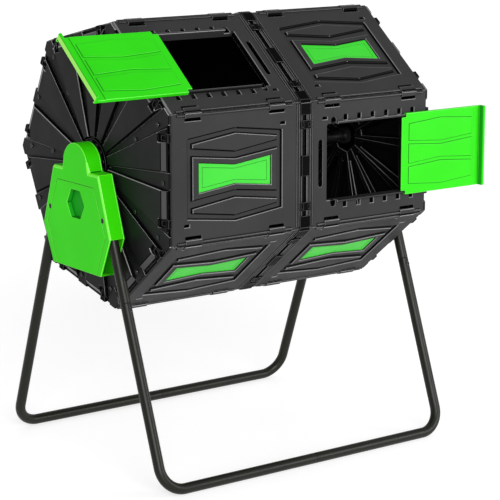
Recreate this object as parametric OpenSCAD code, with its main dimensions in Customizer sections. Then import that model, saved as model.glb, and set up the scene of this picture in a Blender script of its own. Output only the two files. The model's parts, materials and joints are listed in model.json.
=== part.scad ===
// Dual-chamber compost tumbler: a seven-sided drum on a tube stand, with two sliding doors.
// Frame: +X along the axle to the right, -Y to the front, +Z up.
// The origin is on the floor, under the middle of the drum.

/* [Drum] */
// Width of one drum side, corner to corner
side_w = 262; // [258:1:264]
// Length of the drum along the axle
drum_l = 650; // [646:1:654]
// Height of the axle above the floor
axle_h = 629; // [610:1:650]
// Gap between the two chambers
chamber_gap = 10; // [9.6:0.1:10.4]
// Wall thickness of the moulded panels
skin = 3; // [2.5:0.1:3.2]

/* [Panel pattern] */
// Depth of the six-sided pocket
pocket_d = 5; // [3:0.5:6]
// Half length of the pocket
pocket_hl = 115; // [113:1:118]
// Half length of the raised fields in the pocket
field_hl = 103; // [100:1:106]
// Half length of the window
window_hl = 88; // [84:1:90]
// Recess of the window inlay's face
inlay_recess = 3; // [1:0.5:4]

/* [Doors] */
// Length of a door
door_l = 227; // [220:1:230]
// Half width of a door, over its hooked edges
door_hw = 86.4; // [86.2:0.1:87]
// Distance of a shut door's inner end from the middle of the drum
door_shut_x = 50; // [48:1:52]
// How far a door slides
door_travel = 200; // [150:1:200]
// Height of the pull lip above the door's face
lip_h = 12; // [8:1:14]

/* [Stand] */
// Outside diameter of the stand tubes
tube_d = 22; // [21:0.5:22]
// Wall thickness of the stand tubes
tube_wall = 1.4; // [1.2:0.1:1.6]
// Distance between the front and the rear floor bar
foot_w = 586; // [584:1:590]
// Distance of each leg plane from the middle
leg_x = 363; // [362.5:0.1:363.5]
// Half distance between the leg lines at axle height
leg_top_y = 66; // [64:0.5:66]
// Bend radius of the lower legs
bend_r = 50; // [40:1:55]
// Joint in the legs, below the axle
leg_joint_drop = 258; // [250:1:270]
// Joint in the floor bars, to the right of the middle
bar_joint_x = 14; // [0:1:20]

/* [Side covers] */
// Radius of the dome over the axle
dome_r = 47; // [45:1:50]
// Half width at the shoulders
shoulder_y = 87; // [86.5:0.5:88]
// Half width at the widest point
waist_y = 130; // [129.5:0.5:131]
// Half width at the bottom
base_y = 93; // [88:1:98]
// Wall thickness of the covers
cover_wall = 2.2; // [2:0.1:2.4]

/* [Axle] */
// Outside diameter of the axle tube
axle_d = 25; // [25:0.5:25.5]
// Running clearance of the bushes, on the radius
bush_gap = 0.08; // [0.05:0.01:0.1]

/* [Hidden] */
// --- drum section ---
sides = 7;
turn = 360 / sides;
half_turn = turn / 2;
apothem = side_w / 2 / tan(half_turn);
corner_r = side_w / 2 / sin(half_turn);
half_l = drum_l / 2;
mitre_gap = 0.4;
side_names = ["front", "upper_front", "top", "upper_rear", "lower_rear", "bottom", "lower_front"];
left_door_side = 1;
right_door_side = 0;

// --- panels ---
panel_in = chamber_gap / 2;
panel_len = half_l - panel_in;
pattern_x = (20 + half_l) / 2;
end_lip_h = 10;
ridge_w = 2;
ridge_h = 1.2;
ridge_xs = [8, 14, 20];
pocket_end = 79;
pocket_mid = 93;
field_v = 64;
field_end = 4;
field_mid = 18;
bow_end = 43;
bow_mid = 31;
window_end = 30;
window_mid = 19;
tab_u = 102;
tab_l = 39;
tab_v = 120;
tab_w = 10;
tab_h = 3.6;
notch_v = 114;
notch_w = 5.5;
bead_v = 126;
groove_r = 1.8;
bead_r = 2.8;
bead_l = 280;
vent_l = 12;
vent_w = 5;
vent_out_u = 117;
vent_v = 92;
eps = 0.01;

// --- door opening, rails and doors ---
opening_x0 = 58;
opening_x1 = 262;
opening_v = 78.5;
collar_d = 14;
slot_x = 41;
slot_hl = 49;
slot_r = 5.5;
rail_x0 = 68;
rail_x1 = half_l - 7;
rail_web = 2.5;
rail_lip_v = 83.8;
rail_lip_t = 2;
rail_h = 6.5;
relief_x0 = 106;
relief_step = 36;
relief_n = 6;
relief_l = 9;
relief_w = 11;
entry_x = 74.5;
entry_r = 6.5;
door_open_x = door_shut_x + door_travel;
door_t = 2.5;
door_low = 7.2;
door_top = door_low + door_t;
hook_low = 1.2;
hook_t = 2.7;
hook_in = 4.6;
door_skirt = 2;
door_nose = 12;
door_nose_hw = 78;
door_field_u = 108;
door_field_hl = 88;
door_field_h = 1.4;
door_field_v = 46;
door_field_end = 17;
door_field_mid = 24;
door_bow_end = 20;
door_bow_mid = 13;
groove_u = 202;
groove_w = 17;
groove_d = 1.2;
pull_t = 7;

// --- drum ends: e is measured outwards from the end of the drum ---
wedge_t = 3;
wedge_tip_r = 34;
wedge_rim_w = 261.6;
wedge_gap = 0.3;
rise_e = 11;
rise_rim_e = 4;
rise_w = 250;
rise_r0 = 56;
rise_turn = 4.3;
rise_wall = 2.4;
strip_t = 1.6;
strip_gap = 0.05;
strip_r0 = 60;
strip_rim_w = 270;
strip_drop_w = 262.4;
strip_half = 17;
wedge_hole_r = 2;
wedge_hole_shift = 5;
vertex_hole_rs = [168, 257];
mid_hole_rs = [250];
hub_r = 52;
hub_e0 = 3.2;
hub_e1 = 12;
hub_collar_r = 24;
hub_collar_e = 13;
hub_bore_r = 18;
hub_screw_ring = 44;
bush_r = 17.9;
bush_e0 = -8;
bush_e1 = 14;
screw_head_r = 4.5;
screw_head_h = 2.2;
screw_shank_r = 1.8;
hook_v = 84;
rim_hook_w0 = 240;
rim_hook_w1 = 271;
rim_hook_v = 8.5;
rim_hook_e = 7;
divider_t = 6;
divider_w = 268;

// --- clips across the gap between the chambers ---
seam_hook_x = 13;
seam_hook_v = 8.5;
seam_clip_x = 10;
seam_clip_v = 21;
clip_low = 1.3;
clip_top = 4.6;
stem_x = 4.5;
connector_x = 12.8;
connector_reach = 27;
connector_low = 0.5;
connector_top = 3.2;
connector_r = 303.6;

// --- stand ---
tube_in = tube_d - 2 * tube_wall;
spigot_d = tube_in - 0.2;
spigot_in = spigot_d - 2 * tube_wall;
spigot_l = 40;
floor_z = tube_d / 2;
lean = atan((foot_w / 2 - leg_top_y) / (axle_h - floor_z));
leg_joint_z = axle_h - leg_joint_drop;
leg_run = (leg_joint_z - floor_z) / cos(lean);
leg_joint_y = leg_top_y + leg_joint_drop * tan(lean);
crown_drop = 30;
crown_z = axle_h - crown_drop;
crown_y = leg_top_y + crown_drop * tan(lean);
crown_rise = 13;
crossbar_d = 20;
upper_run = (crown_z + crown_rise - leg_joint_z) / cos(lean);
joint_screw_drop = 14;
joint_screw_r = 2.5;
axle_wall = 2;
axle_half = leg_x + 9;

// --- side covers: x is measured from the middle of the drum ---
cover_face_x = leg_x + 15.5;
cover_face_t = 3;
cover_back_x = leg_x - 19.5;
cover_back_t = 2.5;
shoulder_z = -8;
waist_z = -133;
base_z = -214;
hex_r = 34;
hex_z = -79;
hex_d = 11;
groove_inset = 17;
cover_screw_z = -98;
cover_screw_y = leg_top_y + 98 * tan(lean);
cover_screw_r = 3;
cover_screw_head_r = 5.5;
axle_boss_r = 17.4;

PANEL_NODES = [for (s = [-1, 1], k = [0 : sides - 1]) panel_name(s, k)];

// ---------- placing and shared shapes ----------

// Name of the panel on side k of the left (s = -1) or right (s = 1) chamber
function chamber_name(s) = s < 0 ? "left" : "right";
function has_door(s, k) = k == (s < 0 ? left_door_side : right_door_side);
function panel_name(s, k) =
    has_door(s, k) ? str(chamber_name(s), "_door_frame")
                   : str(chamber_name(s), "_", side_names[k], "_panel");

// Half width of a mitred side at distance w from the axle
function half_v(w) = w * tan(half_turn) - mitre_gap;

// Side k as a flat frame: x along the axle, y across the side, z outwards from the axle
module on_side(k) {
    translate([0, 0, axle_h]) rotate([-k * turn, 0, 0]) rotate([90, 0, 0]) children();
}

// The same frame for one chamber: x runs outwards from the middle of the drum
module on_chamber_side(s, k) {
    on_side(k) rotate([0, 0, s < 0 ? 180 : 0]) children();
}

// Drum end as a flat frame seen from outside: z runs outwards from the end of the drum
module on_end(s) {
    translate([s * half_l, 0, axle_h]) rotate([90, 0, s * 90])
        rotate([0, 0, s < 0 ? 0 : 180]) children();
}

// Draws on the plane across the axle and extrudes along it from x0, over a length
module along_axle(x0, length) {
    translate([x0, 0, 0]) rotate([90, 0, 90]) linear_extrude(length) children();
}

// Six-pointed outline: a stretched hexagon if mid > end, a bow tie if mid < end
module lozenge(half_len, end, mid) {
    polygon([[-half_len, -end], [-half_len, end], [0, mid],
             [half_len, end], [half_len, -end], [0, -mid]]);
}

module rod(length, r) {
    rotate([0, 90, 0]) cylinder(h = length, r = r, center = true, $fn = 48);
}

// ---------- drum panels ----------

// Mitred skin with a rim turned inwards at both ends, and ridges beside the gap.
// The first ridge stops short of the corner connectors.
module panel_blank() {
    outer = half_v(apothem);
    inner = half_v(apothem - skin);
    rim = half_v(apothem - end_lip_h);
    along_axle(panel_in, panel_len)
        polygon([[-outer, apothem], [outer, apothem],
                 [inner, apothem - skin], [-inner, apothem - skin]]);
    for (x0 = [panel_in, half_l - skin]) along_axle(x0, skin)
        polygon([[-outer, apothem], [outer, apothem],
                 [rim, apothem - end_lip_h], [-rim, apothem - end_lip_h]]);
    for (i = [0 : len(ridge_xs) - 1]) translate([ridge_xs[i], 0, apothem - eps])
        linear_extrude(ridge_h)
            square([ridge_w, 2 * (i == 0 ? side_w / 2 - connector_reach - 1 : bead_v)], center = true);
}

// Barrel bead and two raised tabs along each long edge
module edge_trim() {
    for (turned = [0, 180]) translate([pattern_x, 0, 0]) rotate([0, 0, turned]) {
        translate([0, bead_v, apothem]) rod(bead_l, bead_r);
        for (u = [-tab_u, tab_u]) translate([u, tab_v + tab_w / 2, apothem - eps])
            linear_extrude(tab_h) square([tab_l, tab_w], center = true);
    }
}

// Slots beside the tabs, where the next panel's clips catch, and a groove along each long edge
module edge_notches() {
    for (u = [-tab_u, tab_u], side = [-1, 1])
        translate([pattern_x + u, side * (notch_v + notch_w / 2), apothem - skin - 1])
            linear_extrude(skin + 2) square([tab_l, notch_w], center = true);
    for (side = [-1, 1], u = [-1, 0, 1]) {
        length = u == 0 ? 2 * tab_u - tab_l : bead_l / 2 - tab_u - tab_l / 2;
        middle = u * (tab_u + tab_l / 2 + length / 2);
        translate([pattern_x + (u == 0 ? 0 : middle), side * side_w / 2, apothem]) rod(length, groove_r);
    }
}

module vent(u, v) {
    translate([u, v, apothem - skin - 1]) linear_extrude(skin + 2)
        square([vent_l, vent_w], center = true);
}

// Everything that stands up from the pocket's floor
module raised_fields() {
    for (side = [-1, 1]) translate([0, side * field_v]) lozenge(field_hl, field_end, field_mid);
    lozenge(field_hl, bow_end, bow_mid);
}

// Hollows behind the raised fields, which keep the wall even
module field_hollows() {
    for (side = [-1, 1]) translate([0, side * field_v])
        lozenge(field_hl - 9, field_end - 3, field_mid - 4);
    difference() {
        lozenge(field_hl - skin, bow_end - skin, bow_mid - skin);
        lozenge(window_hl + skin, window_end + skin, window_mid + skin);
    }
}

module plain_panel() {
    color("#2e3032") difference() {
        union() {
            difference() {
                union() {
                    panel_blank();
                    edge_trim();
                    translate([pattern_x, 0, apothem - pocket_d - skin])
                        linear_extrude(pocket_d + skin)
                            lozenge(pocket_hl + skin, pocket_end + skin, pocket_mid + skin);
                }
                translate([pattern_x, 0, apothem - pocket_d]) linear_extrude(pocket_d + 1)
                    lozenge(pocket_hl, pocket_end, pocket_mid);
            }
            translate([pattern_x, 0, apothem - pocket_d - eps])
                linear_extrude(pocket_d + eps) raised_fields();
        }
        translate([pattern_x, 0, apothem - pocket_d - skin - 1])
            linear_extrude(pocket_d + 1) field_hollows();
        translate([pattern_x, 0, apothem - pocket_d - skin - 1])
            linear_extrude(pocket_d + skin + 2) lozenge(window_hl, window_end, window_mid);
        edge_notches();
        vent(pattern_x + vent_out_u, vent_v);
        vent(pattern_x - vent_out_u, -vent_v);
    }
}

// Bow-tie inlay: a face with an inset line, and a flange behind the window
module window_inlay() {
    back = apothem - pocket_d - skin;
    face = apothem - inlay_recess;
    slack = 0.3;
    flange_t = 2;
    line_in = 9;
    line_w = 1.4;
    color("#3cc92c") translate([pattern_x, 0, 0]) difference() {
        union() {
            translate([0, 0, back - flange_t]) linear_extrude(flange_t - 0.05)
                lozenge(window_hl + 6, window_end + 6, window_mid + 6);
            translate([0, 0, back - 0.1]) linear_extrude(face - back + 0.1)
                lozenge(window_hl - slack, window_end - slack, window_mid - slack);
        }
        translate([0, 0, back - flange_t - 1]) linear_extrude(face - back + flange_t + 1 - 2.5)
            lozenge(window_hl - skin, window_end - skin, window_mid - skin);
        translate([0, 0, face - 0.8]) linear_extrude(1) difference() {
            lozenge(window_hl - line_in, window_end - line_in, window_mid - line_in + 2);
            lozenge(window_hl - line_in - line_w, window_end - line_in - line_w,
                    window_mid - line_in - line_w + 2);
        }
    }
}

module window_inlays(s) {
    for (k = [0 : sides - 1]) if (!has_door(s, k)) on_chamber_side(s, k) window_inlay();
}

// ---------- door frames and doors ----------

// L-shaped rail beside the opening: a web, and a lip that the door's hooks run under
module rail() {
    web_top = apothem + rail_h;
    along_axle(rail_x0, rail_x1 - rail_x0) polygon([
        [opening_v + eps, apothem - eps], [opening_v + eps, web_top],
        [rail_lip_v, web_top], [rail_lip_v, web_top - rail_lip_t],
        [opening_v + rail_web, web_top - rail_lip_t], [opening_v + rail_web, apothem - eps]]);
}

// Rounded finger slot, with its long side across the panel
module finger_slot() {
    translate([slot_x, 0, apothem - skin - 1]) {
        for (side = [-1, 1]) translate([0, side * (slot_hl - slot_r), 0])
            cylinder(h = skin + 2, r = slot_r, $fn = 32);
        translate([-slot_r, -(slot_hl - slot_r), 0])
            cube([2 * slot_r, 2 * (slot_hl - slot_r), skin + 2]);
    }
}

// Square reliefs outside the rails, and the longer entries at their inner ends
module rail_reliefs() {
    relief_v = rail_lip_v + 1 + relief_w / 2;
    translate([0, 0, apothem - skin - 1]) for (side = [-1, 1], i = [0 : relief_n - 1])
        translate([relief_x0 + i * relief_step, side * relief_v]) linear_extrude(skin + 2)
            square([relief_l, relief_w], center = true);
    translate([0, 0, apothem - skin - 1]) for (side = [-1, 1]) {
        translate([entry_x, side * (opening_v + 8), 0])
            cylinder(h = skin + rail_h + 2, r = entry_r, $fn = 32);
        translate([entry_x - entry_r, side > 0 ? opening_v - 1 : -opening_v - 8, 0])
            cube([2 * entry_r, 9, skin + rail_h + 2]);
    }
}

module door_frame() {
    opening_l = opening_x1 - opening_x0;
    mid_x = (opening_x0 + opening_x1) / 2;
    color("#2e3032") difference() {
        union() {
            panel_blank();
            edge_trim();
            rail();
            mirror([0, 1, 0]) rail();
            translate([mid_x, 0, apothem - collar_d]) linear_extrude(collar_d)
                square([opening_l + 2 * skin, 2 * (opening_v + skin)], center = true);
        }
        translate([mid_x, 0, apothem - collar_d - 1]) linear_extrude(collar_d + rail_h + 2)
            square([opening_l, 2 * opening_v], center = true);
        finger_slot();
        rail_reliefs();
        edge_notches();
        vent(opening_x0 - 6, vent_v);
    }
}

// Hooked edge of a door, which wraps round a rail's lip
module door_edge() {
    low = apothem + hook_low;
    top = apothem + door_top;
    along_axle(door_nose, door_l - door_nose) polygon([
        [door_hw - door_skirt, top], [door_hw, top], [door_hw, low],
        [door_hw - hook_in, low], [door_hw - hook_in, low + hook_t],
        [door_hw - door_skirt, low + hook_t]]);
}

module door_fields() {
    translate([door_field_u, 0, apothem + door_top - eps]) linear_extrude(door_field_h) {
        for (side = [-1, 1]) translate([0, side * door_field_v])
            lozenge(door_field_hl, door_field_end, door_field_mid);
        lozenge(door_field_hl, door_bow_end, door_bow_mid);
    }
}

// Door, with x from its inner end
module door_body() {
    face = apothem + door_top;
    difference() {
        union() {
            translate([0, 0, face - door_t]) linear_extrude(door_t) union() {
                translate([0, -door_nose_hw]) square([door_l, 2 * door_nose_hw]);
                translate([door_nose, -door_hw]) square([door_l - door_nose, 2 * door_hw]);
            }
            door_edge();
            mirror([0, 1, 0]) door_edge();
            door_fields();
            translate([door_l - pull_t, -door_hw, face - eps]) cube([pull_t, 2 * door_hw, lip_h - 3]);
            translate([door_l - pull_t / 2, 0, face + lip_h - 3.5]) rotate([90, 0, 0])
                cylinder(h = 2 * door_hw, r = pull_t / 2, center = true, $fn = 48);
        }
        translate([groove_u, -door_hw - 1, face - groove_d])
            cube([groove_w, 2 * door_hw + 2, groove_d + 1]);
    }
}

module door(s) {
    color("#3fd61f")
        on_chamber_side(s, s < 0 ? left_door_side : right_door_side)
            translate([door_open_x, 0, 0]) door_body();
}

module panel(s, k) {
    on_chamber_side(s, k) {
        if (has_door(s, k)) door_frame();
        if (!has_door(s, k)) plain_panel();
    }
}

// ---------- drum ends ----------

// Flat half of one side's triangle, from the middle of the side (on +x) to its corner, clear of both by g
module half_triangle(w, g) {
    polygon([[wedge_tip_r, g], [w, g],
             [w, w * tan(half_turn) - 2 * g],
             [wedge_tip_r, wedge_tip_r * tan(half_turn) - 2 * g]]);
}

// Seven-sided outline with side middles at multiples of turn from +x
module drum_outline(w) {
    rotate(half_turn) circle(r = w / cos(half_turn), $fn = 7);
}

// Strip over joint i, which tapers to the hub
module strip_outline(i, w) {
    reach = corner_r + 20;
    half = strip_half * reach / apothem;
    intersection() {
        drum_outline(w);
        difference() {
            rotate(i * half_turn) polygon([[0, 0], [reach, half], [reach, -half]]);
            circle(r = strip_r0, $fn = 96);
        }
    }
}

// Holes for the screws that pin strip i to the plate under it
module joint_holes(i, r) {
    for (d = i % 2 == 0 ? mid_hole_rs : vertex_hole_rs) rotate(i * half_turn)
        translate([d, -wedge_hole_shift, -1]) cylinder(h = wedge_t + strip_t + 2, r = r, $fn = 24);
}

// Raised middle of a wedge shrunk by inset, drawn on the half of a side from +x to its corner
module rise_outline(inset) {
    spread = half_turn / 2 - rise_turn;
    far = 2 * corner_r;
    difference() {
        intersection() {
            rotate(half_turn / 2) translate([inset / sin(spread), 0])
                polygon([[0, 0], [far * cos(spread), far * sin(spread)],
                         [far * cos(spread), -far * sin(spread)]]);
            square([wedge_rim_w - inset, side_w]);
        }
        circle(r = rise_r0 + inset, $fn = 96);
    }
}

// The raised middle, with its outer part sloping down to the rim, shrunk by inset
module raised_middle(inset, low) {
    slope = atan((rise_e - rise_rim_e) / (wedge_rim_w - rise_w));
    difference() {
        translate([0, 0, low]) linear_extrude(rise_e - inset - low) rise_outline(inset);
        translate([rise_w - 0.6 * inset, -1, rise_e - inset]) rotate([0, slope, 0])
            cube([60, side_w, 20]);
    }
}

// Room round a rim hook, with a margin of g
module hook_room(g, low) {
    translate([rim_hook_w0 - g, hook_v - rim_hook_v - g, low])
        cube([60, 2 * (rim_hook_v + g), rise_e + 2 - low]);
}

// One wedge's plate, with its hollow raised middle and a place for the rim hook
module wedge_body() {
    difference() {
        union() {
            linear_extrude(wedge_t) half_triangle(wedge_rim_w, wedge_gap);
            raised_middle(0, wedge_t - eps);
        }
        difference() {
            raised_middle(rise_wall, -1);
            hook_room(rise_wall + 0.3, -2);
        }
        hook_room(0.3, wedge_t);
    }
}

// End wedge i, from joint i round to joint i + 1, with the strip that covers joint i
module end_wedge(i) {
    odd = i % 2;
    difference() {
        union() {
            rotate((i + odd) * half_turn) mirror([0, odd, 0]) wedge_body();
            translate([0, 0, wedge_t + strip_gap]) linear_extrude(strip_t - strip_gap)
                strip_outline(i, strip_rim_w);
            translate([0, 0, wedge_t - 1]) linear_extrude(strip_t) intersection() {
                strip_outline(i, wedge_rim_w - 2);
                rotate((i + odd) * half_turn) mirror([0, odd, 0])
                    half_triangle(wedge_rim_w - 2, 2 * wedge_gap);
            }
            translate([0, 0, 0.1]) linear_extrude(wedge_t + strip_t - 1) difference() {
                strip_outline(i, strip_rim_w);
                drum_outline(strip_drop_w);
            }
        }
        joint_holes(i, wedge_hole_r);
        joint_holes(i + 1, wedge_hole_r);
        rotate((i + 0.5) * half_turn) translate([hub_screw_ring, 0, -1])
            cylinder(h = wedge_t + 2, r = wedge_hole_r, $fn = 24);
    }
}

// Every second wedge: seven alike from a side's middle to its corner, seven the other way
module end_wedges(s, first) {
    color("#2b2d2f") on_end(s) for (k = [0 : sides - 1]) end_wedge(2 * k + first);
}

module pan_screw(e, shank) {
    translate([0, 0, e]) cylinder(h = screw_head_h, r = screw_head_r, $fn = 32);
    translate([0, 0, e - shank]) cylinder(h = shank + eps, r = screw_shank_r, $fn = 24);
}

// Screws through the strips, and a ring of screws through the hub flange
module end_screws(s) {
    color("#3a3c3e") on_end(s) for (i = [0 : 2 * sides - 1]) {
        for (d = i % 2 == 0 ? mid_hole_rs : vertex_hole_rs) rotate(i * half_turn)
            translate([d, -wedge_hole_shift, 0]) pan_screw(wedge_t + strip_t, wedge_t + strip_t + 4);
        rotate((i + 0.5) * half_turn) translate([hub_screw_ring, 0, 0]) pan_screw(hub_e1, hub_e1 + 3);
    }
}

// Hub flange, seen as the black ring behind the side cover
module hub_flange(s) {
    color("#17181a") on_end(s) difference() {
        union() {
            translate([0, 0, hub_e0]) cylinder(h = hub_e1 - hub_e0, r = hub_r, $fn = 96);
            translate([0, 0, hub_e0]) cylinder(h = hub_collar_e - hub_e0, r = hub_collar_r, $fn = 64);
        }
        translate([0, 0, hub_e0 - 1])
            cylinder(h = hub_collar_e - hub_e0 + 2, r = hub_bore_r, $fn = 64);
        for (i = [0 : 2 * sides - 1]) rotate((i + 0.5) * half_turn)
            translate([hub_screw_ring, 0, hub_e0 - 1])
                cylinder(h = hub_e1 - hub_e0 + 2, r = wedge_hole_r, $fn = 24);
    }
}

// Plain bush that turns with the drum on the fixed axle
module bush(s) {
    color("#2a2b2d") on_end(s) translate([0, 0, bush_e0]) difference() {
        cylinder(h = bush_e1 - bush_e0, r = bush_r, $fn = 64);
        translate([0, 0, -1])
            cylinder(h = bush_e1 - bush_e0 + 2, r = axle_d / 2 + bush_gap, $fn = 64);
    }
}

// Hooks that hold the end wedges to the panels, two on each side
module rim_hooks(s) {
    low = wedge_t + 0.1;
    color("#141516") on_end(s) for (k = [0 : sides - 1], side = [-1, 1])
        rotate(k * turn) difference() {
            translate([0, side * hook_v, 0]) {
                translate([rim_hook_w0, -rim_hook_v, low])
                    cube([rim_hook_w1 - rim_hook_w0, 2 * rim_hook_v, rim_hook_e - low]);
                translate([strip_drop_w, -rim_hook_v, 0.1])
                    cube([rim_hook_w1 - strip_drop_w, 2 * rim_hook_v, low]);
            }
            translate([rim_hook_w0 + 8, side * hook_v - rim_hook_v / 2, rim_hook_e - 2.4])
                cube([14, rim_hook_v, 3]);
        }
}

// ---------- between the chambers ----------

module divider() {
    color("#202224") translate([-divider_t / 2, 0, axle_h]) rotate([90, 0, 90])
        linear_extrude(divider_t) difference() {
            rotate(180) drum_outline(divider_w);
            circle(r = axle_d / 2 + 1.5, $fn = 64);
        }
}

// Clip that bridges the gap, with a stem down into it
module bridge_clip(half_x, half_v, slot) {
    translate([0, 0, apothem + clip_low]) linear_extrude(clip_top - clip_low) difference() {
        square([2 * half_x, 2 * half_v], center = true);
        if (slot) for (side = [-1, 1])
            translate([side * (half_x - 5), 0]) square([4, half_v], center = true);
    }
    translate([0, 0, divider_w + 0.4]) linear_extrude(apothem + clip_low - divider_w)
        square([2 * stem_x, 1.6 * half_v], center = true);
}

module seam_hooks() {
    color("#141516") for (k = [0 : sides - 1], side = [-1, 1])
        on_side(k) translate([0, side * hook_v, 0]) bridge_clip(seam_hook_x, seam_hook_v, true);
}

module seam_clips() {
    color("#141516") for (k = [0 : sides - 1]) on_side(k) bridge_clip(seam_clip_x, seam_clip_v, false);
}

// Angled connectors, one over each corner at the gap
module corner_connectors() {
    reach = side_w / 2 - connector_reach;
    color("#141516") translate([-connector_x, 0, axle_h]) rotate([90, 0, 90])
        linear_extrude(2 * connector_x) rotate(180) difference() {
            intersection() {
                drum_outline(apothem + connector_top);
                circle(r = connector_r, $fn = 180);
            }
            drum_outline(apothem + connector_low);
            for (k = [0 : sides - 1]) rotate(k * turn)
                translate([0, -reach]) square([2 * apothem, 2 * reach]);
        }
}

// ---------- stand ----------

// Lower leg: an upright, a bend and half of a floor bar, as a path of diameter d
module leg_path(d, bar_l, over) {
    translate([0, 0, bend_r]) cylinder(h = leg_run - bend_r + over, d = d, $fn = 64);
    translate([bend_r, 0, bend_r]) rotate([90, 0, 0]) rotate([0, 0, 180])
        rotate_extrude(angle = 90, $fn = 96) translate([bend_r, 0]) circle(d = d, $fn = 64);
    translate([bend_r, 0, 0]) rotate([0, 90, 0]) cylinder(h = bar_l - bend_r + over, d = d, $fn = 64);
}

// Swaged end that slides into the next tube, along +z from the shoulder
module spigot() {
    cylinder(h = spigot_l, d = spigot_d, $fn = 64);
}

module spigot_bore() {
    translate([0, 0, -tube_d / 2]) cylinder(h = spigot_l + tube_d, d = spigot_in, $fn = 64);
}

// Leg at one corner: s is the side, f is -1 for the front and 1 for the rear
module lower_leg(s, f) {
    bar_l = leg_x - s * bar_joint_x;
    swaged = s < 0;
    color("#33362f") mirror([s > 0 ? 1 : 0, 0, 0]) mirror([0, f > 0 ? 1 : 0, 0])
        translate([-leg_x, -foot_w / 2, floor_z]) rotate([-lean, 0, 0]) difference() {
            union() {
                leg_path(tube_d, bar_l, 0);
                if (swaged) translate([bar_l - eps, 0, 0]) rotate([0, 90, 0]) spigot();
            }
            if (!swaged) leg_path(tube_in, bar_l, 1);
            if (swaged) leg_path(tube_in, bar_l - tube_wall, 0);
            if (swaged) translate([0, 0, leg_run - tube_d]) cylinder(h = 2 * tube_d, d = tube_in, $fn = 64);
            if (swaged) translate([bar_l, 0, 0]) rotate([0, 90, 0]) spigot_bore();
            translate([0, 0, leg_run - joint_screw_drop]) rotate([90, 0, 0])
                cylinder(h = tube_d, r = joint_screw_r, $fn = 24);
            translate([bar_l + (swaged ? joint_screw_drop : -joint_screw_drop), 0, -tube_d])
                cylinder(h = tube_d, r = joint_screw_r, $fn = 24);
        }
}

// Upper frame of one side: two leg tops and the crossbar welded between them
module leg_tops(d, start, end) {
    for (f = [0, 1]) mirror([0, f, 0]) translate([0, leg_joint_y, leg_joint_z])
        rotate([lean, 0, 0]) translate([0, 0, start]) cylinder(h = end - start, d = d, $fn = 64);
}

module crossbar(d) {
    translate([0, -crown_y, crown_z]) rotate([-90, 0, 0]) cylinder(h = 2 * crown_y, d = d, $fn = 64);
}

module upper_frame(s) {
    color("#33362f") translate([s * leg_x, 0, 0]) difference() {
        union() {
            leg_tops(tube_d, 0, upper_run);
            leg_tops(spigot_d, -spigot_l, tube_wall / 2);
            crossbar(crossbar_d);
        }
        leg_tops(tube_in, tube_wall, upper_run - tube_wall);
        leg_tops(spigot_in, -spigot_l - 1, tube_d / 2);
        crossbar(crossbar_d - 2 * tube_wall);
        for (f = [0, 1]) mirror([0, f, 0]) {
            translate([0, leg_joint_y, leg_joint_z]) rotate([lean, 0, 0])
                translate([0, 0, -joint_screw_drop]) rotate([90, 0, 0])
                    cylinder(h = 2 * tube_d, r = joint_screw_r, center = true, $fn = 24);
            translate([-tube_d, cover_screw_y, axle_h + cover_screw_z]) rotate([0, 90, 0])
                cylinder(h = 2 * tube_d, r = cover_screw_r + 0.2, $fn = 24);
        }
    }
}

module axle() {
    color("#8b8f93") translate([0, 0, axle_h]) difference() {
        rod(2 * axle_half, axle_d / 2);
        rod(2 * axle_half + 2, axle_d / 2 - axle_wall);
    }
}

// ---------- side covers ----------

// Cover outline round the axle, moved inwards by g
module cover_outline(g) {
    circle(r = dome_r - g, $fn = 96);
    polygon([[-52 + g, shoulder_z - g - 1], [-45 + g, 13], [45 - g, 13], [52 - g, shoulder_z - g - 1]]);
    polygon([[-shoulder_y + g, shoulder_z - g], [shoulder_y - g, shoulder_z - g],
             [waist_y - g * 1.06, waist_z], [base_y - g * 0.7, base_z + g],
             [-base_y + g * 0.7, base_z + g], [-waist_y + g * 1.06, waist_z]]);
}

// Opening for the legs: the slanted lower edges have no wall
module leg_openings() {
    top_z = waist_z - 0.5;
    for (side = [-1, 1]) polygon([[side * (base_y + 1), base_z - 1], [side * (waist_y + 9), base_z - 1],
                                  [side * (waist_y + 9), top_z], [side * (waist_y - 30), top_z],
                                  [side * (base_y - 30), base_z + 12], [side * (base_y - 9), base_z + 3]]);
}

// One side of the stand as a flat frame: x to the rear, y up from the axle, z outwards
module on_cover(s, x0) {
    translate([s * x0, 0, axle_h]) rotate([90, 0, s * 90]) children();
}

module inset_line_outline(g) {
    polygon([[-shoulder_y + 15 + g, -35 - g], [shoulder_y - 15 - g, -35 - g],
             [waist_y - groove_inset - g, waist_z + 2], [base_y - groove_inset + 2 - g, base_z - 1],
             [-base_y + groove_inset - 2 + g, base_z - 1], [-waist_y + groove_inset + g, waist_z + 2]]);
}

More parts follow.
